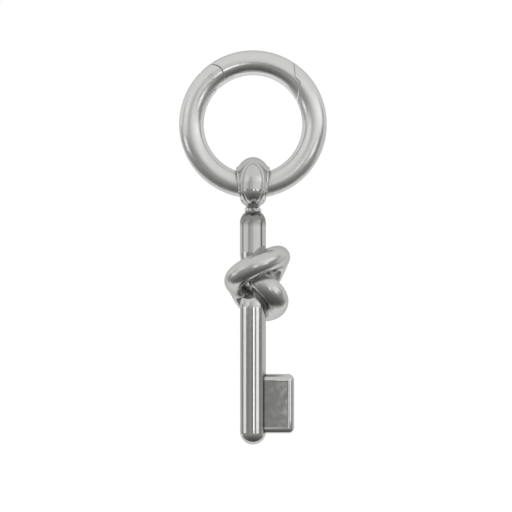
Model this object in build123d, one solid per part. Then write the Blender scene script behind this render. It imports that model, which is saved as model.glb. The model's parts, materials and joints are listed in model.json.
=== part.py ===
from build123d import *

import os
from math import cos, radians, sin, sqrt

# A decorative key that hangs by its eye from a round ring with a sprung gate.
# Millimetres. Origin at the ring's centre, X to the side the bit is on, Z up.

# Ring
RING_R = 11.83  # centre of the ring to the centre of its wire
WIRE_D = 4.7
HINGE_ANGLE = 132.0  # from X towards Z
LATCH_ANGLE = 48.0
RIVET_D = 1.2
RIVET_PRESS_GAP = 0.02
RIVET_RUN_GAP = 0.05
KNUCKLE_R = 2.3
KNUCKLE_GAP = 0.15
SLOT_W = 2.4
TONGUE_W = 1.2
TONGUE_SIDE_GAP = 0.06
LATCH_STEP = 1.0
LATCH_LIP_ANGLE = 15.0
LATCH_GAP = 0.12

# Spring round the rivet
SPRING_WIRE_D = 0.3
SPRING_GAP = 0.06  # to the rivet, the tongue and the cheek
SPRING_TURNS = 2
SPRING_LEG = 1.6

# Eye
EYE_Z = -11.3
EYE_R = 5.0
EYE_HALF_W = 3.7
EYE_HOLE_R = 2.6  # at its middle, round the wire
EYE_MOUTH_R = 3.2  # where the hole opens out at both sides
PEG_D = 1.9
PEG_GAP = 0.03
PEG_LENGTH = 3.2

# Shank
SHANK_D = 5.0
SHANK_TOP_Z = -16.0
TIP_Z = -61.5
JOINT_GAP = 0.03
BEAD_R = 2.35
BEAD_ROUND_R = 0.95
BEAD_Z = -16.2

# Knot
KNOT_Z = -30.6
STRAND_D = 0.85 * SHANK_D
# Where the rod runs through the knot, in shank diameters from the knot's centre
KNOT_RUN = [
    (0.00, 0.00, -1.30),
    (0.00, 0.00, -1.00),
    (0.08, 0.21, -0.55),
    (0.35, 0.58, -0.19),
    (0.72, 0.83, 0.33),
    (0.95, 0.57, 0.85),
    (1.00, 0.03, 1.03),
    (0.75, -0.60, 0.98),
    (0.30, -0.93, 0.80),
    (-0.20, -0.93, 0.56),
    (-0.56, -0.66, 0.30),
    (-0.67, 0.03, 0.06),
    (-0.51, 0.89, -0.24),
    (-0.28, 1.08, -0.65),
    (0.06, 1.06, -0.95),
    (0.44, 0.89, -1.08),
    (0.82, 0.52, -0.95),
    (0.94, -0.04, -0.66),
    (0.82, -0.34, -0.38),
    (0.53, -0.43, -0.08),
    (0.24, -0.27, 0.20),
    (0.08, -0.01, 0.66),
    (0.00, 0.00, 1.25),
    (0.00, 0.00, 1.60),
]
# How far below and above the knot's centre the full-width rod ends, in the same way
LOWER_SHOULDER_RATIO = 0.92
UPPER_SHOULDER_RATIO = 1.25

# Bit
BIT_TOP_Z = -48.0
BIT_H = 11.3
BIT_REACH = 7.9  # from the shank's centre line
BIT_T = 3.0
BIT_EDGE_R = 1.1
TONGUE_T = 1.8
TONGUE_DEPTH = 1.4
SLOT_GAP = 0.03

SHANK_R = SHANK_D / 2
STRAND_R = STRAND_D / 2
WIRE_R = WIRE_D / 2
UP = Vector(0, 0, 1)


def on_ring(angle):
    """Point on the centre line of the ring's wire."""
    return Vector(RING_R * cos(radians(angle)), 0, RING_R * sin(radians(angle)))


def ring_arc(start, end):
    """Round wire bent to the ring's radius, between two angles."""
    section = Pos(RING_R, 0, 0) * Circle(WIRE_R)
    wire = revolve(section, Axis((0, 0, 0), (0, -1, 0)), end - start)
    return Rot(0, -start, 0) * wire


def across(centre, radius, width=20.0):
    """Cylinder along Y."""
    return Pos(centre) * Rot(90, 0, 0) * Cylinder(radius, width)


def run_tangents(points):
    """Direction of the rod at each point, straight up at both ends."""
    last = len(points) - 1
    found = []
    for k, point in enumerate(points):
        if k < 2 or k > last - 2:
            found.append(UP)
            continue
        before = point - points[k - 1]
        after = points[k + 1] - point
        blend = before.normalized() * after.length + after.normalized() * before.length
        found.append(blend.normalized())
    return found


def arc_pair(start, end, leaves, arrives):
    """Two arcs that join smoothly, or one line, from start to end."""
    span = end - start
    if span.normalized().dot(leaves) > 0.999999 and span.normalized().dot(arrives) > 0.999999:
        return [Edge.make_line(start, end)]
    a = 2 * (1 - leaves.dot(arrives))
    b = span.dot(leaves + arrives)
    c = span.dot(span)
    reach = c / (2 * b) if a < 1e-9 else (sqrt(b * b + a * c) - b) / a
    near = start + leaves * reach
    far = end - arrives * reach
    middle = (near + far) * 0.5
    turn = (far - near).normalized()
    return [
        Edge.make_tangent_arc(start, leaves, middle),
        Edge.make_tangent_arc(middle, turn, end),
    ]


def smooth_run(points, directions):
    """Edges of a smooth line of arcs through the points."""
    edges = []
    for k in range(len(points) - 1):
        edges += arc_pair(points[k], points[k + 1], directions[k], directions[k + 1])
    return edges


def round_bar(edges, start, direction, radius):
    """Round bar of one radius along the edges."""
    section = Plane(origin=start, z_dir=direction) * Circle(radius)
    return sweep(section, path=Wire(edges))


def half_ball(centre, direction, radius):
    """Domed end of a round bar."""
    ball = Sphere(radius, arc_size1=0, align=(Align.CENTER, Align.CENTER, Align.MIN))
    return Plane(origin=centre, z_dir=direction) * ball


def make_knot_run():
    """Centre line of the overhand knot as edges, with its end points."""
    points = [Vector(x, y, z) * SHANK_D + UP * KNOT_Z for x, y, z in KNOT_RUN]
    return points, smooth_run(points, run_tangents(points))


def domed_bar(low_z, high_z):
    """Full-width round bar on the Z axis with a half ball at both ends."""
    low_ball = Vector(0, 0, low_z + SHANK_R)
    high_ball = Vector(0, 0, high_z - SHANK_R)
    bar = Pos(low_ball) * Cylinder(
        SHANK_R, high_ball.Z - low_ball.Z, align=(Align.CENTER, Align.CENTER, Align.MIN)
    )
    return bar + half_ball(low_ball, UP * -1, SHANK_R) + half_ball(high_ball, UP, SHANK_R)


def make_knotted_shank():
    """The rod: a domed lower shank, the overhand knot and the upper shank."""
    points, edges = make_knot_run()
    strand = round_bar(edges, points[0], UP, STRAND_R)
    lower = domed_bar(TIP_Z, KNOT_Z - LOWER_SHOULDER_RATIO * SHANK_D + SHANK_R)
    upper = domed_bar(KNOT_Z + UPPER_SHOULDER_RATIO * SHANK_D - SHANK_R, SHANK_TOP_Z)
    socket = Pos(0, 0, SHANK_TOP_Z - PEG_LENGTH) * Cylinder(
        PEG_D / 2 + PEG_GAP, PEG_LENGTH + 1, align=(Align.CENTER, Align.CENTER, Align.MIN)
    )
    slot_h = BIT_H - 2 * BIT_EDGE_R
    slot = Pos(SHANK_R - TONGUE_DEPTH, 0, BIT_TOP_Z - BIT_H / 2) * Box(
        SHANK_D,
        TONGUE_T + 2 * SLOT_GAP,
        slot_h + 2 * SLOT_GAP,
        align=(Align.MIN, Align.CENTER, Align.CENTER),
    )
    return strand + (lower - slot) + (upper - socket)


def make_bit():
    """Flat flag with rounded edges, and the tongue that is brazed in the shank."""
    plate = Pos(0, 0, BIT_TOP_Z - BIT_H / 2) * Box(
        BIT_REACH, BIT_T, BIT_H, align=(Align.MIN, Align.CENTER, Align.CENTER)
    )
    outer = plate.edges().filter_by(lambda e: e.center().X > 0.01)
    plate = fillet(outer, BIT_EDGE_R)
    rod_space = Pos(0, 0, BIT_TOP_Z - BIT_H / 2) * Cylinder(SHANK_R + JOINT_GAP, 2 * BIT_H)
    tongue = Pos(SHANK_R - TONGUE_DEPTH + SLOT_GAP, 0, BIT_TOP_Z - BIT_H / 2) * Box(
        2 * TONGUE_DEPTH,
        TONGUE_T,
        BIT_H - 2 * BIT_EDGE_R,
        align=(Align.MIN, Align.CENTER, Align.CENTER),
    )
    return (plate - rod_space) + tongue


def lens(half_w, radius):
    """Round disc across the ring's wire, domed to an ellipse in section."""
    upper_half = Pos(0, radius, 0) * Rectangle(4 * half_w, 2 * radius)
    return Pos(0, 0, EYE_Z) * revolve(Ellipse(half_w, radius) & upper_half, Axis.X)


def make_eye():
    """Domed loop across the ring's wire, with the peg that holds it to the shank."""
    body = lens(EYE_HALF_W, EYE_R)
    # The hole opens out to both sides because the wire inside it is curved.
    half_w = EYE_HALF_W + 0.2
    flare = ThreePointArc((-half_w, EYE_MOUTH_R), (0, EYE_HOLE_R), (half_w, EYE_MOUTH_R))
    sides = Polyline(flare @ 1, (half_w, 0), (-half_w, 0), flare @ 0)
    hole = Pos(0, 0, -RING_R) * revolve(make_face(Curve() + [flare, sides]), Axis.X)
    seat = Pos(0, 0, SHANK_TOP_Z + JOINT_GAP) * Box(
        20, 20, 20, align=(Align.CENTER, Align.CENTER, Align.MAX)
    )
    peg_top = Pos(0, 0, SHANK_TOP_Z + 0.5)
    peg = peg_top * Cylinder(
        PEG_D / 2, PEG_LENGTH + 0.5 - PEG_GAP, align=(Align.CENTER, Align.CENTER, Align.MAX)
    )
    return body - hole - seat + peg


def make_neck_bead():
    """Rounded collar of solder where the eye meets the domed top of the shank."""
    section = Plane.XZ * Pos(BEAD_R - BEAD_ROUND_R, BEAD_Z) * Circle(BEAD_ROUND_R)
    bead = revolve(section, Axis.Z)
    core = Pos(0, 0, BEAD_Z) * Cylinder(BEAD_R - BEAD_ROUND_R, 2 * BEAD_ROUND_R)
    bore = Pos(0, 0, BEAD_Z) * Cylinder(PEG_D / 2 + PEG_GAP, 4)
    dome = Pos(0, 0, SHANK_TOP_Z - SHANK_R) * Sphere(SHANK_R + JOINT_GAP)
    eye_space = lens(EYE_HALF_W + JOINT_GAP, EYE_R + JOINT_GAP)
    return bead + core - bore - dome - eye_space


def make_ring_body():
    """C of round wire: a forked knuckle at one end, a stepped latch at the other."""
    pin = on_ring(HINGE_ANGLE)
    latch_r = (on_ring(LATCH_ANGLE) - pin).length
    wire = ring_arc(HINGE_ANGLE - 15, 360 + LATCH_ANGLE + LATCH_LIP_ANGLE)
    past_hinge = Rot(0, -HINGE_ANGLE, 0) * Pos(RING_R, 0, 0) * Box(
        2 * WIRE_D, 2 * WIRE_D, 2 * WIRE_D, align=(Align.CENTER, Align.CENTER, Align.MAX)
    )
    past_knuckle = past_hinge - across(pin, KNUCKLE_R)
    slot = across(pin, KNUCKLE_R + KNUCKLE_GAP, SLOT_W)
    rivet_hole = across(pin, RIVET_D / 2 + RIVET_PRESS_GAP)
    # The gate's free end moves round the rivet, so the seam is round the rivet too.
    under_lip = across(pin, latch_r + LATCH_STEP + LATCH_GAP) & across(
        Vector(0, 0, 0), RING_R + LATCH_GAP / 2
    )
    gate_space = across(pin, latch_r + LATCH_GAP) + under_lip
    near_latch = Pos(0.75 * RING_R, 0, 0.75 * RING_R) * Box(0.9 * RING_R, 2 * WIRE_D, RING_R)
    return wire - past_knuckle - slot - rivet_hole - (gate_space & near_latch)


def make_ring_gate():
    """Arc that swings inwards on the rivet, with a tongue and a stepped free end."""
    pin = on_ring(HINGE_ANGLE)
    latch_r = (on_ring(LATCH_ANGLE) - pin).length
    arc = ring_arc(LATCH_ANGLE - 15, HINGE_ANGLE)
    over_step = across(pin, latch_r + LATCH_STEP) & across(
        Vector(0, 0, 0), RING_R - LATCH_GAP / 2
    )
    arc = arc & (across(pin, latch_r) + over_step)
    arc -= across(pin, KNUCKLE_R + KNUCKLE_GAP)
    side = Pos(0, tongue_y(), 0) * Box(60, TONGUE_W, 60)
    root = ring_arc(HINGE_ANGLE - 20, HINGE_ANGLE)
    tip = ring_arc(HINGE_ANGLE, HINGE_ANGLE + 15) & across(pin, KNUCKLE_R)
    tongue = (root + tip) & side
    rivet_hole = across(pin, RIVET_D / 2 + RIVET_RUN_GAP)
    return arc + tongue - rivet_hole


def tongue_y():
    """Middle of the tongue: it fills one side of the slot, the spring the other."""
    return -SLOT_W / 2 + TONGUE_SIDE_GAP + TONGUE_W / 2


def make_gate_rivet():
    """Rivet across the wire, its ends domed flush with the cheeks."""
    pin = on_ring(HINGE_ANGLE)
    return across(pin, RIVET_D / 2) & ring_arc(HINGE_ANGLE - 10, HINGE_ANGLE + 10)


def make_gate_spring():
    """Torsion spring: turns round the rivet, one leg towards each part of the ring."""
    pin = on_ring(HINGE_ANGLE)
    coil_r = RIVET_D / 2 + SPRING_GAP + SPRING_WIRE_D / 2
    low_y = tongue_y() + TONGUE_W / 2 + SPRING_GAP + SPRING_WIRE_D / 2
    high_y = SLOT_W / 2 - SPRING_GAP - SPRING_WIRE_D / 2
    pitch = (high_y - low_y) / SPRING_TURNS
    steps = 6 * SPRING_TURNS
    points = []
    directions = []
    for k in range(steps + 1):
        turn = radians(HINGE_ANGLE + 60 * k)
        points.append(pin + Vector(coil_r * cos(turn), low_y + pitch * k / 6, coil_r * sin(turn)))
        rise = pitch / (2 * 3.14159265 * coil_r)
        directions.append(Vector(-sin(turn), rise, cos(turn)).normalized())
    first = points[0] - directions[0] * SPRING_LEG
    last = points[-1] + directions[-1] * SPRING_LEG
    edges = [Edge.make_line(first, points[0])]
    edges += smooth_run(points, directions)
    edges.append(Edge.make_line(points[-1], last))
    return round_bar(edges, first, directions[0], SPRING_WIRE_D / 2)


def main():
    os.makedirs("parts", exist_ok=True)
    parts = {
        "knotted_shank": make_knotted_shank(),
        "bit": make_bit(),
        "eye": make_eye(),
        "neck_bead": make_neck_bead(),
        "ring_body": make_ring_body(),
        "ring_gate": make_ring_gate(),
        "gate_rivet": make_gate_rivet(),
        "gate_spring": make_gate_spring(),
    }
    for name, part in parts.items():
        export_step(part, "parts/" + name + ".step")


main()
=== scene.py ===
"""Dresses the CAD frame of a knotted decorative key that hangs from a round gate ring."""

import json
import math

import bmesh
import bpy
import numpy as np
from bpy.props import FloatProperty, FloatVectorProperty, IntProperty, PointerProperty
from mathutils import Matrix, Vector, noise


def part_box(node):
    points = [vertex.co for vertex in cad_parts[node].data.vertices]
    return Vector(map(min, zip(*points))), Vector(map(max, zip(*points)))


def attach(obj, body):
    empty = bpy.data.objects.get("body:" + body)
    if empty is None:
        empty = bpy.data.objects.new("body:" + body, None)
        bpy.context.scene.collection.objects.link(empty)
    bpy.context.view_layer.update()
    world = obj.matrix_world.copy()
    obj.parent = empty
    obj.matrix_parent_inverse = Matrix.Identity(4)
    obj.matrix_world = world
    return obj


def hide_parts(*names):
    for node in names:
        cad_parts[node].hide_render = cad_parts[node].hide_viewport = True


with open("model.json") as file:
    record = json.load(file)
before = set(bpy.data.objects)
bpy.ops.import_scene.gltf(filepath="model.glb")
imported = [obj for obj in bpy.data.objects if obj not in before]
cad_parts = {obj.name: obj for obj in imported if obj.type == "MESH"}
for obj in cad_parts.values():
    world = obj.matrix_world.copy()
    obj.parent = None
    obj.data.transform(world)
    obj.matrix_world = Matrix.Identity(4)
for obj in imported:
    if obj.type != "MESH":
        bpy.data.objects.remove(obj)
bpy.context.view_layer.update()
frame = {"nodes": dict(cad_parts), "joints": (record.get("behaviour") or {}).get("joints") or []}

bl_info = {
    "name": "Knotted Key on a Gate Ring",
    "version": (1, 0, 0),
    "blender": (4, 5, 0),
    "location": "3D View > Sidebar > Knotted Key",
    "description": "Builds the polished pieces of a knotted key, its ring and a plain studio",
    "category": "Object",
}

MM = 0.001

# Sizes read from the frame, in metres
RING_LOW, RING_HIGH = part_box("ring_body")
WIRE_D = RING_HIGH[1] - RING_LOW[1]
RING_R = RING_HIGH[0] - WIRE_D / 2
EYE_LOW, EYE_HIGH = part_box("eye")
EYE_R = (EYE_HIGH[1] - EYE_LOW[1]) / 2
EYE_Z = EYE_HIGH[2] - EYE_R
SHANK_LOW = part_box("knotted_shank")[0]
BIT_LOW, BIT_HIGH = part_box("bit")
BEAD_LOW, BEAD_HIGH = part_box("neck_bead")
GATE_PIN = Vector(next(j["pos_m"] for j in frame["joints"] if j["name"] == "gate_hinge"))

# Light that the floor adds where it is seen or mirrored
FLOOR_GLOW = 0.16

# Narrow rim that keeps a flat face flat beside a rounded edge
FACE_RIM = 0.05 * MM

# Distance between the rod's sections
ROD_STEP = 0.2 * MM

# How far the ring's wire runs on past a joint before it is cut back
OVERRUN = math.radians(15.0)

# How far back along the gate its tongue begins
TONGUE_ROOT = math.radians(20.0)

# Grey of the room at each height in degrees
ROOM_BY_HEIGHT = (
    (-90, 0.10),
    (-60, 0.13),
    (-35, 0.24),
    (-18, 0.40),
    (-6, 0.60),
    (0, 0.88),
    (90, 0.86),
)

# Grey of the room at each bearing in degrees from the camera's side, towards the bit:
# just under the level of the key, just above it, and high up
LOWER_ROOM = (
    (-180, 1.0),
    (-142, 1.0),
    (-128, 0.62),
    (-118, 0.40),
    (-98, 0.36),
    (-60, 0.35),
    (-50, 0.32),
    (-40, 0.32),
    (-31, 0.38),
    (-22, 0.44),
    (-12, 0.31),
    (3, 0.31),
    (12, 0.36),
    (22, 0.40),
    (56, 0.36),
    (64, 0.31),
    (76, 0.32),
    (85, 0.38),
    (92, 0.74),
    (126, 0.72),
    (142, 1.0),
    (180, 1.0),
)
UPPER_ROOM = (
    (-180, 1.0),
    (-142, 1.0),
    (-126, 0.80),
    (-113, 0.76),
    (-108, 0.36),
    (-96, 0.36),
    (-90, 0.85),
    (-50, 0.85),
    (-40, 0.50),
    (-31, 0.46),
    (-22, 0.55),
    (-13, 0.62),
    (-3, 0.64),
    (4, 0.74),
    (13, 0.88),
    (50, 0.92),
    (68, 0.88),
    (75, 0.20),
    (86, 0.20),
    (93, 0.78),
    (126, 0.78),
    (142, 1.0),
    (180, 1.0),
)
TALL_ROOM = (
    (-180, 1.0),
    (-110, 0.95),
    (-96, 0.90),
    (-86, 0.58),
    (-78, 0.58),
    (-62, 1.0),
    (-38, 1.0),
    (-27, 0.62),
    (-13, 0.60),
    (-2, 0.80),
    (28, 1.05),
    (60, 1.30),
    (74, 1.10),
    (84, 0.50),
    (98, 0.48),
    (108, 0.90),
    (180, 1.0),
)

# Where the rod runs through the knot, in shank diameters from the knot's centre
KNOT_RUN = [
    (0.00, 0.00, -0.88),
    (0.07, 0.17, -0.50),
    (0.35, 0.58, -0.19),
    (0.72, 0.83, 0.33),
    (0.95, 0.57, 0.85),
    (1.00, 0.03, 1.03),
    (0.75, -0.60, 0.98),
    (0.30, -0.93, 0.80),
    (-0.20, -0.93, 0.56),
    (-0.56, -0.66, 0.30),
    (-0.67, 0.03, 0.06),
    (-0.51, 0.89, -0.24),
    (-0.28, 1.08, -0.65),
    (0.06, 1.06, -0.95),
    (0.44, 0.89, -1.08),
    (0.82, 0.52, -0.95),
    (0.94, -0.04, -0.66),
    (0.82, -0.34, -0.38),
    (0.53, -0.43, -0.08),
    (0.24, -0.27, 0.20),
    (0.08, -0.01, 0.66),
    (0.00, 0.00, 1.25),
]


def length(name, what, millimetres):
    """A size that the user can change, shown in the scene's units."""
    return FloatProperty(
        name=name, description=what, default=millimetres * MM, subtype="DISTANCE", unit="LENGTH"
    )


def colour(name, what, value):
    """A colour that the user can change."""
    return FloatVectorProperty(
        name=name, description=what, default=value, subtype="COLOR", size=3, min=0.0, max=1.0
    )


class KnottedKeySettings(bpy.types.PropertyGroup):
    shank_diameter: length("Shank Diameter", "Thickness of the straight rod", 5.0)
    strand_diameter: length("Strand Diameter", "Thickness of the rod inside the knot", 4.25)
    knot_height: length("Knot Height", "Height of the knot's centre", -30.6)
    shank_top: length("Shank Top", "Height of the shank's domed top end", -16.4)
    lower_taper: length("Lower Taper", "Length of the taper into the knot from below", 2.6)
    upper_taper: length("Upper Taper", "Length of the taper into the knot from above", 1.5)
    bit_root: length("Bit Root", "Where the bit begins inside the shank, from the axis", 0.3)
    bit_edge: length("Bit Edge", "Radius of the bit's rounded edges", 1.1)
    panel_start: length("Panel Start", "Where the bit's sunk face begins, from the axis", 1.7)
    panel_slope: length("Panel Slope", "Width of the slope round the sunk face", 0.16)
    panel_depth: length("Panel Depth", "Depth of the sunk face", 0.045)
    eye_half_width: length("Eye Half Width", "Half width that the eye's dome would close at", 3.7)
    eye_hole: length("Eye Hole", "Radius of the eye's hole at its middle", 2.6)
    eye_mouth: length("Eye Mouth", "Radius of the eye's hole at the half width", 3.1)
    eye_lip: length("Eye Lip", "Thickness of the eye's rounded lip", 0.6)
    eye_narrow: FloatProperty(
        name="Eye Narrowing",
        description="Share by which the eye narrows towards its foot",
        default=0.2,
        min=0.0,
        max=0.8,
        subtype="FACTOR",
    )
    eye_straight: length("Eye Straight", "Upright length of the eye's front", 1.3)
    oval_width: length("Oval Width", "Width of the oval face on the eye", 3.9)
    oval_height: length("Oval Height", "Height of the oval face on the eye", 8.2)
    oval_place: length("Oval Place", "Height of the oval's middle", -11.75)
    oval_groove: length("Oval Groove", "Depth of the line round the oval", 0.16)
    oval_line: length("Oval Line", "Half width of the line round the oval", 0.13)
    collar_width: length("Collar Width", "Width of the bead of solder", 3.1)
    collar_height: length("Collar Height", "Height of the bead of solder", 1.7)
    collar_place: length("Collar Place", "Height of the bead's middle", -16.45)
    sides: IntProperty(name="Sides", description="Faces round the rod", default=72, min=16)


class GateRingSettings(bpy.types.PropertyGroup):
    latch_angle: FloatProperty(
        name="Latch Angle",
        description="Where the gate's free end meets the ring",
        default=math.radians(48.0),
        subtype="ANGLE",
        unit="ROTATION",
    )
    lip_angle: FloatProperty(
        name="Lip Angle",
        description="How far the ring's lip may reach over the gate's end",
        default=math.radians(15.0),
        subtype="ANGLE",
        unit="ROTATION",
    )
    latch_step: length("Latch Step", "How far the gate's end runs on under the lip", 1.0)
    seam: length("Seam", "Gap between the gate and the ring at the latch", 0.12)
    knuckle_radius: length("Knuckle Radius", "Radius of the hinge's rounded cheeks", 2.3)
    knuckle_gap: length("Knuckle Gap", "Gap round the cheeks and the tongue", 0.2)
    slot_width: length("Slot Width", "Width of the slot between the cheeks", 2.4)
    tongue_width: length("Tongue Width", "Width of the gate's tongue", 1.2)
    tongue_offset: length("Tongue Offset", "Middle of the tongue, across the ring", -0.54)
    edge: length("Edge", "Width of the broken edges at the seams", 0.12)
    sides: IntProperty(name="Sides", description="Faces round the wire", default=72, min=16)


class MetalSettings(bpy.types.PropertyGroup):
    silver: colour("Silver", "Colour of the clean polished metal", (0.62, 0.62, 0.61))
    ring: colour("Ring", "Colour of the ring's metal", (0.72, 0.72, 0.71))
    # Dark colour of the painted shade in creases and of the random patina patches
    shade_and_patina: colour("Shade And Patina", "Colour of the metal in its crevices", (0.10, 0.10, 0.09))
    steel: colour("Steel", "Colour of the rivet and the spring", (0.52, 0.52, 0.51))


class StudioSettings(bpy.types.PropertyGroup):
    background: colour("Background", "Colour of the floor and of what is behind", (1.0, 1.0, 1.0))
    floor_height: length("Floor Height", "Height of the floor under the hanging key", -95.0)
    camera_distance: length("Camera Distance", "From the camera to the key", 205.0)
    camera_side: length("Camera Side", "How far the camera stands to the bit's side", 0.58)
    camera_height: length("Camera Height", "Height of the camera", -25.3)
    lens: FloatProperty(name="Lens", description="Focal length", default=75.0, min=10.0)


# Lines and meshes


def smooth_line(points, start, end):
    """Points on a smooth line with even curvature, straight along Z at both ends."""
    p = np.array(points)
    count = len(p)
    step = np.sqrt(np.linalg.norm(np.diff(p, axis=0), axis=1))
    matrix = np.zeros((count, count))
    wanted = np.zeros((count, 3))
    matrix[0, 0] = matrix[-1, -1] = 1.0
    wanted[0, 2] = np.linalg.norm(p[1] - p[0]) / step[0]
    wanted[-1, 2] = np.linalg.norm(p[-1] - p[-2]) / step[-1]
    for k in range(1, count - 1):
        before, after = 1.0 / step[k - 1], 1.0 / step[k]
        matrix[k, k - 1 : k + 2] = before, 2.0 * (before + after), after
        wanted[k] = 3.0 * ((p[k] - p[k - 1]) * before**2 + (p[k + 1] - p[k]) * after**2)
    speed = np.linalg.solve(matrix, wanted)
    line = [np.array(start)]
    for k in range(count - 1):
        for u in np.linspace(0.0, 1.0, 24, endpoint=False):
            line.append(
                (2 * u**3 - 3 * u**2 + 1) * p[k]
                + (u**3 - 2 * u**2 + u) * step[k] * speed[k]
                + (3 * u**2 - 2 * u**3) * p[k + 1]
                + (u**3 - u**2) * step[k] * speed[k + 1]
            )
    line += [p[-1], np.array(end)]
    return np.array(line)


def smooth_step(value, low, high):
    """0 below low, 1 above high, smooth between."""
    t = np.clip((value - low) / (high - low), 0.0, 1.0)
    return t * t * (3.0 - 2.0 * t)


def fade(value, low, high):
    """1 below low, 0 above high, smooth between."""
    return 1.0 - smooth_step(value, low, high)


def curve_object(name, points, radii):
    """A poly curve with one radius for each point."""
    curve = bpy.data.curves.new(name, "CURVE")
    curve.dimensions = "3D"
    spline = curve.splines.new("POLY")
    spline.points.add(len(points) - 1)
    for point, place, radius in zip(spline.points, points, radii):
        point.co = (*place, 1.0)
        point.radius = radius
    made = bpy.data.objects.new(name, curve)
    bpy.context.scene.collection.objects.link(made)
    return made


def tube_tree():
    """Geometry nodes that sweep a circle along a curve, scaled by the curve's radius."""
    name = "Round Tube"
    if name in bpy.data.node_groups:
        return bpy.data.node_groups[name]
    tree = bpy.data.node_groups.new(name, "GeometryNodeTree")
    tree.interface.new_socket("Geometry", in_out="INPUT", socket_type="NodeSocketGeometry")
    sides = tree.interface.new_socket("Sides", in_out="INPUT", socket_type="NodeSocketInt")
    sides.default_value = 64
    caps = tree.interface.new_socket("Caps", in_out="INPUT", socket_type="NodeSocketBool")
    caps.default_value = False
    tree.interface.new_socket("Material", in_out="INPUT", socket_type="NodeSocketMaterial")
    tree.interface.new_socket("Geometry", in_out="OUTPUT", socket_type="NodeSocketGeometry")
    node, link = tree.nodes.new, tree.links.new
    given, result = node("NodeGroupInput"), node("NodeGroupOutput")
    circle = node("GeometryNodeCurvePrimitiveCircle")
    circle.inputs["Radius"].default_value = 1.0
    radius = node("GeometryNodeInputRadius")
    sweep = node("GeometryNodeCurveToMesh")
    weld = node("GeometryNodeMergeByDistance")
    weld.inputs["Distance"].default_value = 1e-7
    smooth = node("GeometryNodeSetShadeSmooth")
    real = node("GeometryNodeRealizeInstances")
    painted = node("GeometryNodeSetMaterial")
    link(given.outputs["Sides"], circle.inputs["Resolution"])
    link(given.outputs["Geometry"], sweep.inputs["Curve"])
    link(circle.outputs["Curve"], sweep.inputs["Profile Curve"])
    link(radius.outputs["Radius"], sweep.inputs["Scale"])
    link(given.outputs["Caps"], sweep.inputs["Fill Caps"])
    link(sweep.outputs["Mesh"], weld.inputs["Geometry"])
    link(weld.outputs["Geometry"], smooth.inputs["Geometry"])
    link(smooth.outputs["Geometry"], real.inputs["Geometry"])
    link(real.outputs["Geometry"], painted.inputs["Geometry"])
    link(given.outputs["Material"], painted.inputs["Material"])
    link(painted.outputs["Geometry"], result.inputs["Geometry"])
    return tree


def swept_tube(name, points, radii, sides, caps, material):
    """Plain mesh object made by the tube tree."""
    source = curve_object(name + "_line", points, radii)
    modifier = source.modifiers.new("Round Tube", "NODES")
    modifier.node_group = tube_tree()
    values = {"Sides": sides, "Caps": caps, "Material": material}
    for item in modifier.node_group.interface.items_tree:
        if item.item_type == "SOCKET" and item.in_out == "INPUT" and item.name in values:
            modifier[item.identifier] = values[item.name]
    made = solid_copy(source, name)
    discard(source)
    return made


def discard(*pieces):
    """Deletes objects and what they show."""
    for piece in pieces:
        data = piece.data
        kept_in = bpy.data.curves if isinstance(data, bpy.types.Curve) else bpy.data.meshes
        bpy.data.objects.remove(piece)
        kept_in.remove(data)


def solid_copy(source, name):
    """New object with the evaluated mesh of another, without its modifiers."""
    bpy.context.view_layer.update()
    shown = source.evaluated_get(bpy.context.evaluated_depsgraph_get())
    mesh = bpy.data.meshes.new_from_object(shown)
    mesh.name = name
    return linked(mesh, name)


def linked(mesh, name):
    """Object in the scene that shows the mesh."""
    made = bpy.data.objects.new(name, mesh)
    bpy.context.scene.collection.objects.link(made)
    return made


def finished_mesh(name, shape):
    """Mesh from a bmesh, which it frees."""
    mesh = bpy.data.meshes.new(name)
    shape.to_mesh(mesh)
    shape.free()
    return mesh


def mesh_object(name, shape, material):
    """Object from a finished bmesh, with its faces smooth and pointing outwards."""
    bmesh.ops.recalc_face_normals(shape, faces=shape.faces)
    mesh = finished_mesh(name, shape)
    mesh.polygons.foreach_set("use_smooth", [True] * len(mesh.polygons))
    mesh.materials.append(material)
    return linked(mesh, name)


def loft(name, rings, material):
    """Closed surface through closed rings of points, the last joined to the first."""
    shape = bmesh.new()
    rows = [[shape.verts.new(point) for point in ring] for ring in rings]
    for row, after in zip(rows, rows[1:] + rows[:1]):
        for k in range(len(row)):
            n = (k + 1) % len(row)
            shape.faces.new((row[k], row[n], after[n], after[k]))
    return mesh_object(name, shape, material)


def cylinder_across(name, centre, radius, width, middle=0.0):
    """Cutter along Y."""
    shape = bmesh.new()
    bmesh.ops.create_cone(
        shape, cap_ends=True, segments=192, radius1=radius, radius2=radius, depth=width
    )
    place = Matrix.Translation((centre[0], middle, centre[2]))
    turn = Matrix.Rotation(math.pi / 2, 4, "X")
    bmesh.ops.transform(shape, matrix=place @ turn, verts=shape.verts)
    return linked(finished_mesh(name, shape), name)


def box_cutter(name, low, high, turn=None):
    """Cutter between two corners, turned about the origin."""
    shape = bmesh.new()
    bmesh.ops.create_cube(shape, size=1.0)
    size = [h - l for l, h in zip(low, high)]
    middle = [(h + l) / 2 for l, h in zip(low, high)]
    place = Matrix.Translation(middle) @ Matrix.Diagonal((*size, 1.0))
    if turn is not None:
        place = turn @ place
    bmesh.ops.transform(shape, matrix=place, verts=shape.verts)
    return linked(finished_mesh(name, shape), name)


def boolean(target, tool, operation):
    """Applies one boolean and deletes the tool."""
    modifier = target.modifiers.new(operation.title(), "BOOLEAN")
    modifier.object = tool
    modifier.operation = operation
    modifier.solver = "EXACT"
    return applied(target, tool)


def applied(target, *tools):
    """The target with its modifiers applied, under its own name; deletes the tools."""
    name = target.name
    target.name = name + "_before"
    made = solid_copy(target, name)
    discard(target, *tools)
    return made


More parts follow.
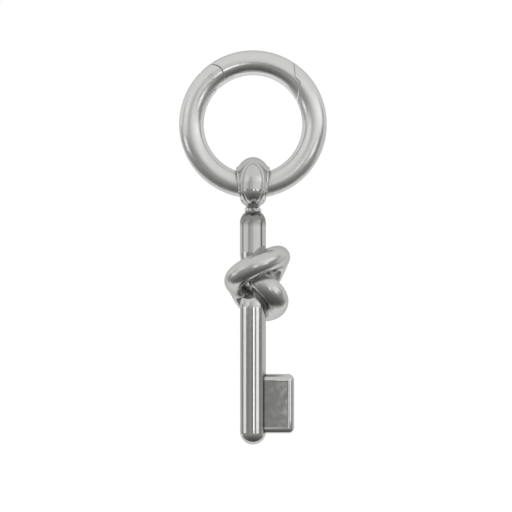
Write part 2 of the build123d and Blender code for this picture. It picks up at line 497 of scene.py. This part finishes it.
def broken_edges(target, width):
    """Bevels the sharp edges a little and shades the rest smooth."""
    modifier = target.modifiers.new("Edges", "BEVEL")
    modifier.width = width
    modifier.segments = 3
    modifier.limit_method = "ANGLE"
    modifier.angle_limit = math.radians(35.0)
    modifier.use_clamp_overlap = True
    modifier.harden_normals = False
    made = applied(target)
    made.data.polygons.foreach_set("use_smooth", [True] * len(made.data.polygons))
    return made


def place(piece, body, slot, *nodes):
    """Puts a finished piece on its body, in the stead of its CAD nodes."""
    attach(piece, body)
    if nodes:
        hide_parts(*nodes)


# Materials


def group(name, inputs, outputs):
    """Empty shader node group with named sockets; returns it with its two end nodes."""
    tree = bpy.data.node_groups.new(name, "ShaderNodeTree")
    for label, kind, value in inputs:
        socket = tree.interface.new_socket(label, in_out="INPUT", socket_type=kind)
        socket.default_value = value
    for label, kind in outputs:
        tree.interface.new_socket(label, in_out="OUTPUT", socket_type=kind)
    return tree, tree.nodes.new("NodeGroupInput"), tree.nodes.new("NodeGroupOutput")


def maths(tree, operation, *values):
    """Output of a math node whose inputs are numbers or other outputs."""
    made = tree.nodes.new("ShaderNodeMath")
    made.operation = operation
    for socket, value in zip(made.inputs, values):
        if isinstance(value, (int, float)):
            socket.default_value = value
        else:
            tree.links.new(value, socket)
    return made.outputs[0]


def grain(tree, place_on, scale, detail):
    """Noise node; its scale is a number or another output."""
    made = tree.nodes.new("ShaderNodeTexNoise")
    made.inputs["Detail"].default_value = detail
    tree.links.new(place_on, made.inputs["Vector"])
    if isinstance(scale, (int, float)):
        made.inputs["Scale"].default_value = scale
    else:
        tree.links.new(scale, made.inputs["Scale"])
    return made.outputs["Fac"]


def polish_group():
    """Slow waves left by hand finishing and fine scratches: a height and a roughness."""
    name = "Hand Polish"
    if name in bpy.data.node_groups:
        return bpy.data.node_groups[name]
    number = "NodeSocketFloat"
    tree, given, result = group(
        name,
        [
            ("Wave Scale", number, 420.0),
            ("Wave Depth", number, 0.05),
            ("Scratch Scale", number, 5200.0),
            ("Scratch Depth", number, 0.004),
            ("Smoothest", number, 0.05),
            ("Roughest", number, 0.14),
            ("Soft", number, 0.0),
            ("Softness", number, 0.16),
        ],
        [("Height", number), ("Roughness", number)],
    )
    node, link = tree.nodes.new, tree.links.new
    place_on = node("ShaderNodeTexCoord").outputs["Object"]
    stretched = node("ShaderNodeMapping")
    stretched.inputs["Scale"].default_value = (1.0, 1.0, 0.12)
    link(place_on, stretched.inputs["Vector"])
    wave = grain(tree, place_on, given.outputs["Wave Scale"], 1.0)
    scratch = grain(tree, stretched.outputs["Vector"], given.outputs["Scratch Scale"], 3.0)
    waves = maths(tree, "MULTIPLY", wave, given.outputs["Wave Depth"])
    height = maths(tree, "MULTIPLY_ADD", scratch, given.outputs["Scratch Depth"], waves)
    link(height, result.inputs["Height"])
    rough = node("ShaderNodeMapRange")
    rough.inputs["From Min"].default_value = 0.35
    rough.inputs["From Max"].default_value = 0.7
    link(grain(tree, place_on, 900.0, 3.0), rough.inputs["Value"])
    link(given.outputs["Smoothest"], rough.inputs["To Min"])
    link(given.outputs["Roughest"], rough.inputs["To Max"])
    soft, softness = given.outputs["Soft"], given.outputs["Softness"]
    dull = maths(tree, "MULTIPLY_ADD", soft, softness, rough.outputs["Result"])
    link(dull, result.inputs["Roughness"])
    return tree


def shade_and_patina_group():
    """Darkens the metal towards a dark colour: painted shade where the Crevice value is high, and
    random patches of a thin patina film.
    """
    name = "Crevice Tarnish"
    if name in bpy.data.node_groups:
        return bpy.data.node_groups[name]
    number, paint = "NodeSocketFloat", "NodeSocketColor"
    tree, given, result = group(
        name,
        [
            ("Crevice", number, 0.0),
            ("Clean", paint, (0.86, 0.86, 0.85, 1.0)),
            ("Tarnished", paint, (0.2, 0.2, 0.19, 1.0)),
            ("Film", number, 0.08),
        ],
        [("Color", paint)],
    )
    node, link = tree.nodes.new, tree.links.new
    patches = grain(tree, node("ShaderNodeTexCoord").outputs["Object"], 700.0, 4.0)
    film, crevice = given.outputs["Film"], given.outputs["Crevice"]
    mask = node("ShaderNodeClamp")
    link(maths(tree, "MULTIPLY_ADD", patches, film, crevice), mask.inputs["Value"])
    mixed = node("ShaderNodeMix")
    mixed.data_type = "RGBA"
    link(mask.outputs[0], mixed.inputs["Factor"])
    link(given.outputs["Clean"], mixed.inputs["A"])
    link(given.outputs["Tarnished"], mixed.inputs["B"])
    link(mixed.outputs["Result"], result.inputs["Color"])
    return tree


def stored_value(tree, name):
    """Output that gives a value stored for each point of the piece."""
    stored = tree.nodes.new("ShaderNodeAttribute")
    stored.attribute_name = name
    return stored.outputs["Fac"]


def metal(name, clean, shade_and_patina_tone, values):
    """Polished metal with hand-polished waves, fine scratches, painted shade in its crevices and
    random patina patches.
    """
    if name in bpy.data.materials:
        return bpy.data.materials[name]
    made = bpy.data.materials.new(name)
    made.use_nodes = True
    tree = made.node_tree
    node, link = tree.nodes.new, tree.links.new
    shader = tree.nodes["Principled BSDF"]
    shader.inputs["Metallic"].default_value = 1.0
    shader.inputs["Specular Tint"].default_value = (0.6, 0.6, 0.6, 1.0)
    polish = node("ShaderNodeGroup")
    polish.node_tree = polish_group()
    shade_and_patina = node("ShaderNodeGroup")
    shade_and_patina.node_tree = shade_and_patina_group()
    shade_and_patina.inputs["Clean"].default_value = (*clean, 1.0)
    shade_and_patina.inputs["Tarnished"].default_value = (*shade_and_patina_tone, 1.0)
    for label, value in values.items():
        (shade_and_patina if label in shade_and_patina.inputs else polish).inputs[label].default_value = value
    # The stored crevice value sets the painted shade, the stored soft value the roughness
    for target in (shade_and_patina.inputs["Crevice"], polish.inputs["Soft"]):
        link(stored_value(tree, target.name.lower()), target)
    bump = node("ShaderNodeBump")
    bump.inputs["Strength"].default_value = 0.5
    bump.inputs["Distance"].default_value = 0.0005
    link(polish.outputs["Height"], bump.inputs["Height"])
    link(shade_and_patina.outputs["Color"], shader.inputs["Base Color"])
    link(polish.outputs["Roughness"], shader.inputs["Roughness"])
    link(bump.outputs["Normal"], shader.inputs["Normal"])
    return made


def silver():
    """The metal of the key, dulled by dried polish in its creases."""
    name = "Polished Silver"
    if name in bpy.data.materials:
        return bpy.data.materials[name]
    tone = bpy.context.scene.metal_settings
    made = metal(name, tone.silver, tone.shade_and_patina, {})
    tree = made.node_tree
    bare = maths(tree, "SUBTRACT", 1.0, stored_value(tree, "residue"))
    tree.links.new(bare, tree.nodes["Principled BSDF"].inputs["Metallic"])
    return made


def ring_silver():
    """The paler metal of the ring and its gate."""
    tone = bpy.context.scene.metal_settings
    return metal("Ring Silver", tone.ring, tone.shade_and_patina, {"Softness": 0.3})


def flat_silver():
    """The metal of the bit, rubbed flat on a stone."""
    tone = bpy.context.scene.metal_settings
    return metal("Flat Silver", tone.silver, tone.shade_and_patina, {"Wave Depth": 0.012, "Roughest": 0.1})


def solder():
    """The softer metal of the collar at the neck, finished with a file and a cloth."""
    tone = bpy.context.scene.metal_settings
    return metal(
        "Solder Collar",
        [1.4 * part for part in tone.silver],
        tone.shade_and_patina,
        {"Wave Scale": 2600.0, "Wave Depth": 0.3, "Smoothest": 0.1, "Roughest": 0.25},
    )


def steel():
    """The metal of the rivet and the spring."""
    tone = bpy.context.scene.metal_settings
    return metal(
        "Drawn Steel",
        tone.steel,
        tone.shade_and_patina,
        {"Scratch Depth": 0.02, "Smoothest": 0.2, "Roughest": 0.35},
    )


def mark(piece, name, values):
    """Stores a value from 0 to 1 for each point of the piece."""
    layer = piece.data.attributes.new(name, "FLOAT", "POINT")
    layer.data.foreach_set("value", np.clip(values, 0.0, 1.0).astype(np.float32))


def mesh_points(piece):
    """The piece's points as an array."""
    points = np.empty(len(piece.data.vertices) * 3, dtype=np.float32)
    piece.data.vertices.foreach_get("co", points)
    return points.reshape(-1, 3)


# Operators


class KEY_OT_knotted_shank(bpy.types.Operator):
    """Sweep the rod along its overhand knot, with domed ends and tapers"""

    bl_idname = "knotted_key.knotted_shank"
    bl_label = "Knotted Shank"

    def execute(self, context):
        size = context.scene.key_settings
        shank, strand = size.shank_diameter / 2, size.strand_diameter / 2
        run = [
            Vector(point) * size.shank_diameter + Vector((0.0, 0.0, size.knot_height))
            for point in KNOT_RUN
        ]
        line = smooth_line(run, (0.0, 0.0, SHANK_LOW[2]), (0.0, 0.0, size.shank_top))
        along = np.concatenate([[0.0], np.cumsum(np.linalg.norm(np.diff(line, axis=0), axis=1))])
        total = along[-1]
        dome = shank * (1.0 - np.cos(np.linspace(0.0, math.pi / 2, 25)))
        body = np.linspace(shank, total - shank, int((total - 2 * shank) / ROD_STEP))
        stations = np.concatenate([dome[:-1], body, total - dome[::-1][1:]])
        points = np.stack([np.interp(stations, along, line[:, k]) for k in range(3)], axis=1)
        self.entry = entry = along[1]
        self.leave = leave = along[np.argmin(np.linalg.norm(line - np.array(run[-2]), axis=1))]
        thin = smooth_step(stations, entry + 0.4 * MM, entry + size.lower_taper)
        thin *= fade(stations, leave - size.upper_taper, leave)
        radii = shank + (strand - shank) * thin
        ends = np.minimum(stations, total - stations)
        inside = np.clip(shank - ends, 0.0, shank)
        radii = np.minimum(radii, np.sqrt(shank**2 - inside**2))
        rod = swept_tube("knotted_rod", points, radii, size.sides, False, silver())
        self.shade(rod, line, along, strand, size)
        place(rod, "key", "polished_silver", "knotted_shank")
        return {"FINISHED"}

    def shade(self, rod, line, along, strand, size):
        """Marks the points near another turn of the knot, the neck and the bit's root."""
        points = mesh_points(rod)
        line, along = line[::3], along[::3]
        apart = np.linalg.norm(points[:, None, :] - line[None, :, :], axis=2)
        own = along[np.argmin(apart, axis=1)]
        # Gap to the nearest part of the rod that isn't the point's own turn
        other = np.abs(along[None, :] - own[:, None]) > 1.4 * size.shank_diameter
        gap = np.where(other, apart, 1.0).min(axis=1) - strand
        mark(rod, "residue", 0.7 * fade(gap, 0.05 * MM, 0.9 * MM))
        # Painted shade: the dome's top under the eye is darkened to stand for the eye's dark
        # underside mirrored in it, and the rod beside the bit is darkened as painted shade in the
        # joint
        from_top = size.shank_top - points[:, 2]
        neck = fade(from_top, 1.9 * MM, 3.5 * MM)
        from_bit = np.maximum(np.abs(points[:, 1]) - (BIT_HIGH[1] - BIT_LOW[1]) / 2, 0.0)
        beside = (points[:, 0] > 0) & (points[:, 2] > BIT_LOW[2]) & (points[:, 2] < BIT_HIGH[2])
        seam = np.where(beside, fade(from_bit, 0.0, 0.35 * MM), 0.0)
        mark(rod, "crevice", 0.62 * neck + 0.6 * seam)
        inside = smooth_step(own, self.entry, self.entry + size.lower_taper)
        inside *= fade(own, self.leave - size.upper_taper, self.leave)
        mark(rod, "soft", inside)


class KEY_OT_bit(bpy.types.Operator):
    """Round off the flat bit and set it against the shank"""

    bl_idname = "knotted_key.bit"
    bl_label = "Bit"

    def execute(self, context):
        size = context.scene.key_settings
        low, high = Vector(BIT_LOW), Vector(BIT_HIGH)
        low.x = size.bit_root
        cube = box_cutter("bit_block", low, high)
        shape = bmesh.new()
        shape.from_mesh(cube.data)
        discard(cube)
        outer = [e for e in shape.edges if max(v.co.x for v in e.verts) > low.x + MM]
        bmesh.ops.bevel(
            shape, geom=outer, offset=size.bit_edge, segments=12, profile=0.5, affect="EDGES"
        )
        # Rims round the flat edges, and a sunk face on each side
        self.cut_across(shape, size.panel_start)
        flats = [f for f in shape.faces if len(f.verts) > 4 or f.calc_area() > 2 * MM * MM]
        panels = [
            f
            for f in flats
            if abs(f.normal.y) > 0.99 and f.calc_center_median().x > size.panel_start
        ]
        flats = [f for f in flats if f not in panels]
        bmesh.ops.inset_individual(shape, faces=flats, thickness=FACE_RIM)
        bmesh.ops.inset_individual(
            shape, faces=panels, thickness=size.panel_slope, depth=-size.panel_depth
        )
        bmesh.ops.inset_individual(shape, faces=panels, thickness=size.panel_slope)
        # Points close to the shank, to hold the painted shade of the seam
        for near in np.linspace(2.0, 2.6, 4) * MM:
            self.cut_across(shape, near)
        flag = mesh_object("flag_bit", shape, flat_silver())
        points = mesh_points(flag)
        # Painted shade where the bit meets the shank, and a thin painted shade line round the sunk
        # face
        shank = size.shank_diameter / 2
        from_axis = np.hypot(points[:, 0], points[:, 1])
        seam = fade(from_axis, shank, shank + 0.4 * MM)
        margin = size.bit_edge + size.panel_slope
        sides = high.x - points[:, 0], high.z - points[:, 2], points[:, 2] - low.z
        border = (np.minimum.reduce(sides) - margin) / (0.04 * MM)
        mark(flag, "crevice", np.maximum(0.75 * seam, 0.7 * np.exp(-(border**2))))
        place(flag, "key", "polished_silver", "bit")
        return {"FINISHED"}

    def cut_across(self, shape, x):
        """New edges where a plane across the bit meets its faces."""
        geometry = [*shape.verts, *shape.edges, *shape.faces]
        bmesh.ops.bisect_plane(shape, geom=geometry, plane_co=(x, 0, 0), plane_no=(1, 0, 0))


class KEY_OT_eye(bpy.types.Operator):
    """Make the domed loop round the ring's wire and the collar under it"""

    bl_idname = "knotted_key.eye"
    bl_label = "Eye and Collar"

    def execute(self, context):
        size = context.scene.key_settings
        self.size = size
        rings = []
        for turn in np.linspace(0.0, 2 * math.pi, 240, endpoint=False):
            rings.append([self.in_place(x, r, turn) for x, r in self.section(size, turn)])
        loop = loft("eye_loop", rings, silver())
        points = mesh_points(loop)
        # Painted shade at the eye's foot by the collar and inside its hole round the ring's wire
        neck = fade(points[:, 2], BEAD_LOW[2] + 0.6 * MM, BEAD_HIGH[2] + 0.5 * MM)
        hole = np.hypot(points[:, 1], points[:, 2] + RING_R)
        inside = fade(hole, size.eye_hole, size.eye_hole + 0.6 * MM)
        mark(loop, "crevice", 0.5 * neck + 0.5 * inside)
        mark(loop, "residue", 0.35 * neck)
        mark(loop, "soft", np.full(len(points), 0.5))
        place(loop, "key", "polished_silver", "eye")
        self.collar(size)
        return {"FINISHED"}

    def in_place(self, x, r, turn):
        """Point of the loop at a radius from the middle of the ring's wire."""
        size = self.size
        y, z = r * math.sin(turn), -RING_R + r * math.cos(turn)
        x *= 1.0 - size.eye_narrow * smooth_step((EYE_Z - z) / EYE_R, 0.35, 1.0)
        # Groove round the oval face
        tall, wide = size.oval_height / 2, size.oval_width / 2
        across, up = x / wide, (z - size.oval_place) / tall
        ratio = math.hypot(across, up)
        slope = math.hypot(across / wide, up / tall) / max(ratio, 1e-6)
        from_line = (ratio - 1.0) / max(slope, 1e-6)
        if r > size.eye_mouth + 0.2 * MM:
            cut = size.oval_groove * math.exp(-((from_line / size.oval_line) ** 2))
            y -= math.copysign(cut, y) * abs(math.sin(turn))
            z -= cut * math.cos(turn)
        # Upright front down to the foot
        foot = EYE_R - size.eye_straight
        drop = max(EYE_Z - size.eye_straight - z, 0.0)
        old = EYE_R**2 - (EYE_Z - z) ** 2
        if z < EYE_Z and old > 0.0 and drop < foot:
            y *= EYE_R * math.sqrt(1.0 - (drop / foot) ** 2) / math.sqrt(old)
        return Vector((x, y, z))

    def section(self, size, turn):
        """Closed outline of the loop's wall, on one side of the wire."""
        shift = EYE_Z + RING_R
        outer = []
        for u in np.linspace(-1.25, 1.25, 41):
            x = size.eye_half_width * math.sin(u)
            disc = EYE_R * math.cos(u)
            inner = shift * math.sin(turn)
            outer.append((x, shift * math.cos(turn) + math.sqrt(disc**2 - inner**2)))
        wide = [(x, r) for x, r in outer if r > self.hole(size, x) + size.eye_lip]
        left, right = wide[0], wide[-1]
        lip = []
        for end, way in ((right, 1.0), (left, -1.0)):
            bottom = self.hole(size, end[0])
            middle = ((end[1] + bottom) / 2, (end[1] - bottom) / 2)
            arc = [
                (end[0] + way * middle[1] * math.sin(a), middle[0] + middle[1] * math.cos(a))
                for a in np.linspace(0.0, math.pi, 9)[1:-1]
            ]
            lip.append(arc if way > 0 else arc[::-1])
        under = [(x, self.hole(size, x)) for x in np.linspace(right[0], left[0], 25)]
        line = wide + lip[0] + under + lip[1]
        return self.even(line, 200)

    def hole(self, size, x):
        """Radius of the flared hole."""
        return size.eye_hole + (size.eye_mouth - size.eye_hole) * (x / size.eye_half_width) ** 2

    def even(self, line, count):
        """The closed line with its points spread evenly."""
        closed = np.array(line + line[:1])
        along = np.concatenate([[0.0], np.cumsum(np.linalg.norm(np.diff(closed, axis=0), axis=1))])
        at = np.linspace(0.0, along[-1], count, endpoint=False)
        return list(zip(np.interp(at, along, closed[:, 0]), np.interp(at, along, closed[:, 1])))

    def collar(self, size):
        """Lumpy bead of solder in the crease under the eye."""
        shape = bmesh.new()
        bmesh.ops.create_icosphere(shape, subdivisions=6, radius=1.0)
        for point in shape.verts:
            lump = 1.0 + 0.16 * noise.noise(point.co * 2.6) + 0.05 * noise.noise(point.co * 7.0)
            wide, tall = size.collar_width / 2, size.collar_height / 2
            point.co = Vector((point.co.x * wide, point.co.y * wide, point.co.z * tall)) * lump
            point.co.z += size.collar_place
        bead = mesh_object("solder_collar", shape, solder())
        place(bead, "key", "solder_silver", "neck_bead")


class KEY_OT_ring(bpy.types.Operator):
    """Bend the round wire, cut the gate out of it and break its edges"""

    bl_idname = "knotted_key.ring"
    bl_label = "Ring and Gate"

    def execute(self, context):
        size = context.scene.ring_settings
        self.hinge = math.atan2(GATE_PIN.z, GATE_PIN.x)
        latch = Vector((math.cos(size.latch_angle), 0.0, math.sin(size.latch_angle))) * RING_R
        self.reach = (latch - GATE_PIN).length
        body = self.ring_body(size)
        # Rubbed softer at the foot of the ring, where the key hangs
        rubbed = smooth_step(-mesh_points(body)[:, 2], 5.0 * MM, 12.0 * MM)
        mark(body, "soft", 0.4 + 0.5 * rubbed)
        place(body, "ring", "polished_silver", "ring_body")
        gate = self.ring_gate(size)
        mark(gate, "soft", np.full(len(gate.data.vertices), 0.4))
        place(gate, "gate", "polished_silver", "ring_gate")
        return {"FINISHED"}

    def arc(self, name, start, end, size):
        """Round wire along the ring between two angles."""
        turns = np.linspace(start, end, max(8, int(math.degrees(end - start))))
        points = [(RING_R * math.cos(a), 0.0, RING_R * math.sin(a)) for a in turns]
        radii = [WIRE_D / 2] * len(points)
        return swept_tube(name, points, radii, size.sides, True, ring_silver())

    def across(self, radius, width=20 * MM, middle=0.0):
        """Cutter round the rivet."""
        return cylinder_across("cutter", GATE_PIN, radius, width, middle)

    def past_hinge(self, size, low, high):
        """Cutter for one side of the hinge, less its round knuckle."""
        block = box_cutter(
            "past",
            (RING_R - 2 * WIRE_D, -WIRE_D, low),
            (RING_R + 2 * WIRE_D, WIRE_D, high),
            Matrix.Rotation(-self.hinge, 4, "Y"),
        )
        return boolean(block, self.across(size.knuckle_radius), "DIFFERENCE")

    def ring_body(self, size):
        """The C with its forked knuckle and its lip."""
        end = 2 * math.pi + size.latch_angle + size.lip_angle
        body = self.arc("ring_wire", self.hinge - OVERRUN, end, size)
        body = boolean(body, self.past_hinge(size, -2 * WIRE_D, 0.0), "DIFFERENCE")
        slot = self.across(size.knuckle_radius + size.knuckle_gap, size.slot_width)
        body = boolean(body, slot, "DIFFERENCE")
        space = self.across(self.reach + size.seam)
        under = boolean(
            self.across(self.reach + size.latch_step + size.seam),
            cylinder_across("inner", (0, 0, 0), RING_R + size.seam / 2, 20 * MM),
            "INTERSECT",
        )
        space = boolean(space, under, "UNION")
        near = box_cutter(
            "near", (0.3 * RING_R, -WIRE_D, 0.25 * RING_R), (1.2 * RING_R, WIRE_D, 1.25 * RING_R)
        )
        space = boolean(space, near, "INTERSECT")
        body = boolean(body, space, "DIFFERENCE")
        return broken_edges(body, size.edge)

    def ring_gate(self, size):
        """The arc that swings inwards, with its tongue and stepped end."""
        gate = self.arc("gate_wire", size.latch_angle - 2 * OVERRUN, self.hinge, size)
        over = boolean(
            self.across(self.reach + size.latch_step),
            cylinder_across("inner", (0, 0, 0), RING_R - size.seam / 2, 20 * MM),
            "INTERSECT",
        )
        keep = boolean(self.across(self.reach), over, "UNION")
        gate = boolean(gate, keep, "INTERSECT")
        gate = boolean(gate, self.across(size.knuckle_radius + size.knuckle_gap), "DIFFERENCE")
        tongue = self.arc("tongue", self.hinge - TONGUE_ROOT, self.hinge + OVERRUN, size)
        tongue = boolean(tongue, self.past_hinge(size, 0.0, 2 * WIRE_D), "DIFFERENCE")
        half = size.tongue_width / 2
        slab = box_cutter(
            "slab",
            (-2 * RING_R, size.tongue_offset - half, -2 * RING_R),
            (2 * RING_R, size.tongue_offset + half, 2 * RING_R),
        )
        tongue = boolean(tongue, slab, "INTERSECT")
        gate = boolean(gate, tongue, "UNION")
        return broken_edges(gate, size.edge)


class KEY_OT_hinge(bpy.types.Operator):
    """Give the rivet and the spring of the gate their metal"""

    bl_idname = "knotted_key.hinge"
    bl_label = "Rivet and Spring"

    def execute(self, context):
        for name in ("gate_rivet", "gate_spring"):
            node = frame["nodes"][name]
            for slot in node.material_slots:
                slot.link = "OBJECT"
                slot.material = steel()
        return {"FINISHED"}


class KEY_OT_studio(bpy.types.Operator):
    """Set up the floor, the background, the soft lamps and the camera"""

    bl_idname = "knotted_key.studio"
    bl_label = "Studio"

    def execute(self, context):
        studio = context.scene.studio_settings
        self.floor(studio)
        self.world(studio)
        # Bearing from the camera's side towards the bit, width and light of each lamp
        for name, bearing, wide, light in (
            ("left softbox", -78.0, 0.32, 0.8),
            ("narrow strip", 8.0, 0.1, 1.8),
            ("right softbox", 41.5, 0.26, 0.95),
        ):
            self.lamp(name, bearing, wide, light)
        self.camera(studio)
        context.scene.view_settings.view_transform = "Standard"
        return {"FINISHED"}

    def floor(self, studio):
        """Plain pale floor behind and under the key."""
        shape = bmesh.new()
        near, far, narrow, wide = 0.03, 2.0, 0.10, 0.65
        corners = ((-narrow, near), (narrow, near), (wide, far), (-wide, far))
        shape.faces.new([shape.verts.new((x, y, studio.floor_height)) for x, y in corners])
        mesh = finished_mesh("floor", shape)
        floor = linked(mesh, "floor")
        paint = bpy.data.materials.new("Pale Floor")
        paint.use_nodes = True
        tree = paint.node_tree
        tree.nodes.clear()
        node, link = tree.nodes.new, tree.links.new
        pale = node("ShaderNodeBsdfDiffuse")
        pale.inputs["Color"].default_value = (*studio.background, 1.0)
        glow = node("ShaderNodeEmission")
        glow.inputs["Color"].default_value = (*studio.background, 1.0)
        ray = node("ShaderNodeLightPath")
        kinds = [ray.outputs[f"Is {kind} Ray"] for kind in ("Camera", "Glossy", "Transmission")]
        seen = kinds[0]
        for kind in kinds[1:]:
            seen = maths(tree, "MAXIMUM", seen, kind)
        link(maths(tree, "MULTIPLY", seen, FLOOR_GLOW), glow.inputs["Strength"])
        both = node("ShaderNodeAddShader")
        out = node("ShaderNodeOutputMaterial")
        link(pale.outputs[0], both.inputs[0])
        link(glow.outputs[0], both.inputs[1])
        link(both.outputs[0], out.inputs["Surface"])
        mesh.materials.append(paint)

    def world(self, studio):
        """White behind the key, a pale room with window bars in front, darker below."""
        world = bpy.data.worlds.new("Studio")
        bpy.context.scene.world = world
        world.use_nodes = True
        tree = world.node_tree
        tree.nodes.clear()
        node, link = tree.nodes.new, tree.links.new

        def rise(value, low, high):
            made = node("ShaderNodeMapRange")
            made.interpolation_type = "SMOOTHSTEP"
            made.inputs["From Min"].default_value = low
            made.inputs["From Max"].default_value = high
            link(value, made.inputs["Value"])
            return made.outputs[0]

        def ramp(angle, half_turn, stops):
            spread = node("ShaderNodeMapRange")
            spread.inputs["From Min"].default_value = -math.radians(half_turn)
            spread.inputs["From Max"].default_value = math.radians(half_turn)
            link(angle, spread.inputs["Value"])
            made = node("ShaderNodeValToRGB")
            steps = made.color_ramp
            for end, (degrees, grey) in ((0, stops[0]), (-1, stops[-1])):
                steps.elements[end].color = (grey, grey, grey, 1.0)
            for degrees, grey in stops[1:-1]:
                step = steps.elements.new(0.5 + 0.5 * degrees / half_turn)
                step.color = (grey, grey, grey, 1.0)
            link(spread.outputs[0], made.inputs["Fac"])
            return made.outputs["Color"]

        def mix(factor, below, above):
            made = node("ShaderNodeMix")
            made.data_type = "RGBA"
            link(factor, made.inputs["Factor"])
            for socket, value in ((made.inputs["A"], below), (made.inputs["B"], above)):
                if isinstance(value, tuple):
                    socket.default_value = value
                else:
                    link(value, socket)
            return made.outputs["Result"]

        way = node("ShaderNodeTexCoord")
        split = node("ShaderNodeSeparateXYZ")
        link(way.outputs["Generated"], split.inputs[0])
        x, y, z = (split.outputs[axis] for axis in "XYZ")
        bearing = maths(tree, "ARCTAN2", x, maths(tree, "MULTIPLY", y, -1.0))
        height = maths(tree, "ARCSINE", z)
        light = ramp(height, 90.0, ROOM_BY_HEIGHT)
        # Heights in degrees over which each room gives way to the next
        borders = [
            rise(height, math.radians(low), math.radians(high))
            for low, high in ((-30, -12), (-3, -1), (4, 6), (13, 34))
        ]
        rooms = (LOWER_ROOM, UPPER_ROOM, TALL_ROOM)
        for begins, ends, room in zip(borders, borders[1:], rooms):
            share = maths(tree, "SUBTRACT", begins, ends)
            light = mix(share, light, ramp(bearing, 180.0, room))
        # White behind the key, reaching further round below its level than above
        behind = maths(tree, "SUBTRACT", y, maths(tree, "MULTIPLY", z, 0.6))
        light = mix(rise(behind, 0.64, 0.80), light, (*studio.background, 1.0))
        ray = node("ShaderNodeLightPath")
        light = mix(ray.outputs["Is Camera Ray"], light, (*studio.background, 1.0))
        back = node("ShaderNodeBackground")
        out = node("ShaderNodeOutputWorld")
        link(light, back.inputs["Color"])
        link(back.outputs[0], out.inputs["Surface"])

    def lamp(self, name, bearing, wide, light):
        """Tall soft lamp that faces the key from the camera's side."""
        away, top, bottom = 0.6, -0.045, -0.18
        data = bpy.data.lights.new(name, "AREA")
        data.shape = "RECTANGLE"
        data.size, data.size_y = wide, top - bottom
        data.energy = light * math.pi * data.size * data.size_y
        lamp = bpy.data.objects.new(name, data)
        turn = math.radians(bearing)
        side = Vector((math.sin(turn), -math.cos(turn), 0.0))
        lamp.location = side * away + Vector((0.0, 0.0, (top + bottom) / 2))
        lamp.rotation_euler = side.to_track_quat("Z", "Y").to_euler()
        bpy.context.scene.collection.objects.link(lamp)

    def camera(self, studio):
        """Level camera in front of the key."""
        data = bpy.data.cameras.new("camera")
        data.lens = studio.lens
        data.sensor_width = 36.0
        data.clip_start = 0.01
        camera = bpy.data.objects.new("camera", data)
        camera.location = (studio.camera_side, -studio.camera_distance, studio.camera_height)
        camera.rotation_euler = (math.pi / 2, 0.0, 0.0)
        bpy.context.scene.collection.objects.link(camera)
        bpy.context.scene.camera = camera


class KEY_PT_panel(bpy.types.Panel):
    """Sidebar panel with one button for each step"""

    bl_idname = "KEY_PT_panel"
    bl_label = "Knotted Key"
    bl_space_type = "VIEW_3D"
    bl_region_type = "UI"
    bl_category = "Knotted Key"

    def draw(self, context):
        for step in STEPS:
            self.layout.operator(step.bl_idname)


STEPS = (KEY_OT_knotted_shank, KEY_OT_bit, KEY_OT_eye, KEY_OT_ring, KEY_OT_hinge, KEY_OT_studio)
SETTINGS = {
    "key_settings": KnottedKeySettings,
    "ring_settings": GateRingSettings,
    "metal_settings": MetalSettings,
    "studio_settings": StudioSettings,
}


def register():
    for kind in (*SETTINGS.values(), *STEPS, KEY_PT_panel):
        bpy.utils.register_class(kind)
    for name, kind in SETTINGS.items():
        setattr(bpy.types.Scene, name, PointerProperty(type=kind))


def unregister():
    for name in SETTINGS:
        delattr(bpy.types.Scene, name)
    for kind in reversed((*SETTINGS.values(), *STEPS, KEY_PT_panel)):
        bpy.utils.unregister_class(kind)


def main():
    register()
    bpy.ops.knotted_key.knotted_shank()
    bpy.ops.knotted_key.bit()
    bpy.ops.knotted_key.eye()
    bpy.ops.knotted_key.ring()
    bpy.ops.knotted_key.hinge()
    bpy.ops.knotted_key.studio()


if __name__ == "__main__":
    main()
